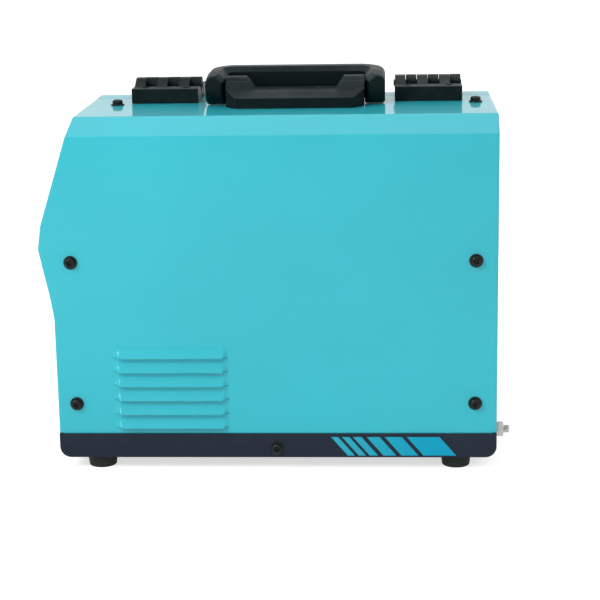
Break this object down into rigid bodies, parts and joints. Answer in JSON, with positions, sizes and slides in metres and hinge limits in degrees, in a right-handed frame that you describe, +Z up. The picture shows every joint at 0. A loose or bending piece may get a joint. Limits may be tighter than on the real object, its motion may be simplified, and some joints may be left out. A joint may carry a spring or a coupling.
{
  "type": "mig welder",
  "caption": "Portable wire-feed welding machine in a sheet-metal case with a folding handle, lift-up side door, wire drive, spool holder and fan.",
  "frame": {"origin": "centre of the machine's bounding box at the ground under its feet", "axes": "+X towards the rear, +Y towards the door side, +Z up"},
  "size_m": [0.4637, 0.2258, 0.3876],
  "materials": {
    "turquoise_paint": "glossy powder coat",
    "navy_paint": "satin powder coat",
    "black_plastic": "fine moulded texture",
    "foot_rubber": "matte",
    "black_screw": "black oxide",
    "zinc_steel": "zinc plated",
    "chassis_zinc": "galvanised sheet",
    "brass": "turned",
    "cast_aluminium": "cast and machined",
    "grey_plastic": "moulded",
    "red_plastic": "moulded",
    "smoked_window": "polished",
    "laminated_steel": "varnished",
    "circuit_board": "solder mask",
    "motor_steel": "satin"
  },
  "bodies": {
    "case": {"base_tray": "navy_paint", "foot_front_near": "foot_rubber", "foot_front_far": "foot_rubber", "foot_rear_near": "foot_rubber", "foot_rear_far": "foot_rubber", "side_cover": "turquoise_paint", "side_screw_front_low": "black_screw", "side_screw_front_high": "black_screw", "side_screw_rear_low": "black_screw", "side_screw_rear_high": "black_screw", "tray_screw": "black_screw", "top_screw_front": "black_screw", "top_screw_rear": "black_screw", "hinge_front_fixed_leaf": "black_plastic", "hinge_front_pin": "zinc_steel", "hinge_rear_fixed_leaf": "black_plastic", "hinge_rear_pin": "zinc_steel", "handle_base": "black_plastic", "handle_pin_front": "zinc_steel", "handle_pin_rear": "zinc_steel", "front_panel": "navy_paint", "display_window": "smoked_window", "mode_switch_body": "black_plastic", "torch_socket": "brass", "output_socket_positive": "black_plastic", "output_socket_negative": "black_plastic", "rear_panel": "navy_paint", "fan_grille": "zinc_steel", "fan_frame": "black_plastic", "cable_gland": "black_plastic", "gas_inlet": "brass", "power_switch_body": "black_plastic", "earth_stud": "zinc_steel", "earth_nut": "zinc_steel", "divider_plate": "chassis_zinc", "feeder_plate": "cast_aluminium", "feed_motor": "motor_steel", "spool_axle": "zinc_steel", "hub_nut": "black_plastic", "transformer": "laminated_steel", "output_choke": "laminated_steel", "heat_sink": "cast_aluminium", "circuit_board": "circuit_board"},
    "door": {"door": "turquoise_paint", "hinge_front_door_leaf": "black_plastic", "hinge_rear_door_leaf": "black_plastic"},
    "latch_front": {"latch_front": "black_plastic"},
    "latch_rear": {"latch_rear": "black_plastic"},
    "handle": {"handle_grip": "black_plastic"},
    "voltage_knob": {"voltage_knob": "black_plastic"},
    "wire_speed_knob": {"wire_speed_knob": "black_plastic"},
    "inductance_knob": {"inductance_knob": "black_plastic"},
    "mode_rocker": {"mode_rocker": "red_plastic"},
    "power_rocker": {"power_rocker": "red_plastic"},
    "fan_rotor": {"fan_rotor": "black_plastic"},
    "drive_roll": {"drive_roll": "zinc_steel"},
    "pressure_arm": {"pressure_arm": "grey_plastic"},
    "pressure_roll": {"pressure_roll": "zinc_steel"},
    "tension_screw": {"tension_screw": "black_plastic"},
    "spool_hub": {"spool_hub": "grey_plastic"}
  },
  "joints": [
    {"name": "door_hinge", "type": "hinge", "parent": "case", "child": "door", "pos_m": [0, 0.0555, 0.3665], "axis": [1, 0, 0], "range_deg": [0, 105]},
    {"name": "latch_front_turn", "type": "hinge", "parent": "door", "child": "latch_front", "pos_m": [-0.12, 0.1075, 0.059], "axis": [0, 1, 0], "range_deg": [0, 90]},
    {"name": "latch_rear_turn", "type": "hinge", "parent": "door", "child": "latch_rear", "pos_m": [0.12, 0.1075, 0.059], "axis": [0, 1, 0], "range_deg": [0, 90]},
    {"name": "handle_fold", "type": "hinge", "parent": "case", "child": "handle", "pos_m": [0.019, -0.004, 0.369], "axis": [1, 0, 0], "range_deg": [0, 90]},
    {"name": "voltage_knob_turn", "type": "hinge", "parent": "case", "child": "voltage_knob", "pos_m": [-0.20648, 0.046, 0.27637], "axis": [-0.9515, 0, 0.3077], "range_deg": [-270, 0]},
    {"name": "wire_speed_knob_turn", "type": "hinge", "parent": "case", "child": "wire_speed_knob", "pos_m": [-0.20648, 0, 0.27637], "axis": [-0.9515, 0, 0.3077], "range_deg": [-270, 0]},
    {"name": "inductance_knob_turn", "type": "hinge", "parent": "case", "child": "inductance_knob", "pos_m": [-0.20648, -0.046, 0.27637], "axis": [-0.9515, 0, 0.3077], "range_deg": [-270, 0]},
    {"name": "mode_rocker_press", "type": "hinge", "parent": "case", "child": "mode_rocker", "pos_m": [-0.19171, -0.072, 0.32204], "axis": [0, 1, 0], "range_deg": [0, 20]},
    {"name": "power_rocker_press", "type": "hinge", "parent": "case", "child": "power_rocker", "pos_m": [0.216, 0.052, 0.281], "axis": [0, -1, 0], "range_deg": [0, 20]},
    {"name": "fan_spin", "type": "hinge", "parent": "case", "child": "fan_rotor", "pos_m": [0.2, -0.048, 0.227], "axis": [1, 0, 0], "continuous": true},
    {"name": "drive_roll_spin", "type": "hinge", "parent": "case", "child": "drive_roll", "pos_m": [-0.12, 0.032, 0.0875], "axis": [0, 1, 0], "continuous": true},
    {"name": "pressure_arm_lift", "type": "hinge", "parent": "case", "child": "pressure_arm", "pos_m": [-0.155, 0.032, 0.12], "axis": [0, -1, 0], "range_deg": [0, 60]},
    {"name": "pressure_roll_spin", "type": "hinge", "parent": "pressure_arm", "child": "pressure_roll", "pos_m": [-0.12, 0.032, 0.1185], "axis": [0, 1, 0], "continuous": true},
    {"name": "tension_screw_swing", "type": "hinge", "parent": "case", "child": "tension_screw", "pos_m": [-0.086, 0.032, 0.077], "axis": [0, -1, 0], "range_deg": [0, 70]},
    {"name": "spool_hub_spin", "type": "hinge", "parent": "case", "child": "spool_hub", "pos_m": [0.096, 0.04, 0.171], "axis": [0, 1, 0], "continuous": true}
  ],
  "couplings": [
    {"joint": "pressure_roll_spin", "follows": "drive_roll_spin", "ratio": -1}
  ]
}
